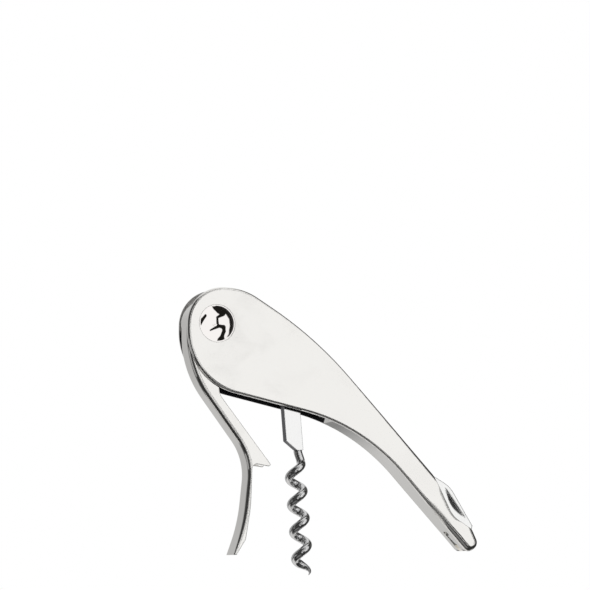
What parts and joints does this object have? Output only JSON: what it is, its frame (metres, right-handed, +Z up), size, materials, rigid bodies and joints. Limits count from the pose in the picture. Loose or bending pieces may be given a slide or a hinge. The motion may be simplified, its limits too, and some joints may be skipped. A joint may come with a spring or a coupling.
{
  "type": "folding lever corkscrew",
  "caption": "Folding lever corkscrew: polished curved handle, notched channel lever for the bottle lip, worm that folds out of a slot, and a foil knife in the handle's end.",
  "frame": {"origin": "on the worm's axis at the level of the bottle's rim, where the worm enters the cork", "axes": "+X from the worm towards the knife end of the handle, +Y through the handle's thickness towards its rear plate, +Z up out of the bottle"},
  "size_m": [0.1061, 0.0106, 0.0948],
  "materials": {
    "polished_plate": "mirror polished",
    "polished_spine": "polished",
    "polished_lever": "mirror polished",
    "hub_mirror": "dished mirror",
    "worm_steel": "polished hardened steel",
    "blade_steel": "ground and polished",
    "pin_steel": "turned",
    "bearing_bronze": "sintered bronze"
  },
  "bodies": {
    "handle": {"front_side_plate": "polished_plate", "rear_side_plate": "polished_plate", "handle_spine": "polished_spine", "body_dowel_1": "pin_steel", "body_dowel_2": "pin_steel", "body_dowel_3": "pin_steel", "body_dowel_4": "pin_steel", "worm_pivot_pin": "pin_steel", "knife_pivot_pin": "pin_steel", "front_hub_cup": "hub_mirror", "rear_hub_cup": "hub_mirror", "lever_axle": "pin_steel", "front_thrust_washer": "bearing_bronze", "rear_thrust_washer": "bearing_bronze", "front_worm_spacer": "bearing_bronze", "rear_worm_spacer": "bearing_bronze", "front_knife_washer": "bearing_bronze", "rear_knife_washer": "bearing_bronze"},
    "lever": {"lever_arm": "polished_lever", "lever_bushing": "bearing_bronze"},
    "worm": {"worm_shank": "worm_steel", "worm_spiral": "worm_steel"},
    "knife": {"knife_blade": "blade_steel"}
  },
  "joints": [
    {"name": "lever_hinge", "type": "hinge", "parent": "handle", "child": "lever", "pos_m": [-0.03005, 0, 0.0489], "axis": [0, -1, 0], "range_deg": [-84, 30]},
    {"name": "worm_hinge", "type": "hinge", "parent": "handle", "child": "worm", "pos_m": [-0.00265, 0, 0.0316], "axis": [0, -1, 0], "range_deg": [-84, 30]},
    {"name": "knife_hinge", "type": "hinge", "parent": "handle", "child": "knife", "pos_m": [0.06095, 0, -0.0195], "axis": [0, 1, 0], "range_deg": [0, 170]}
  ],
  "couplings": [
    {"joint": "worm_hinge", "follows": "lever_hinge", "ratio": 1}
  ]
}
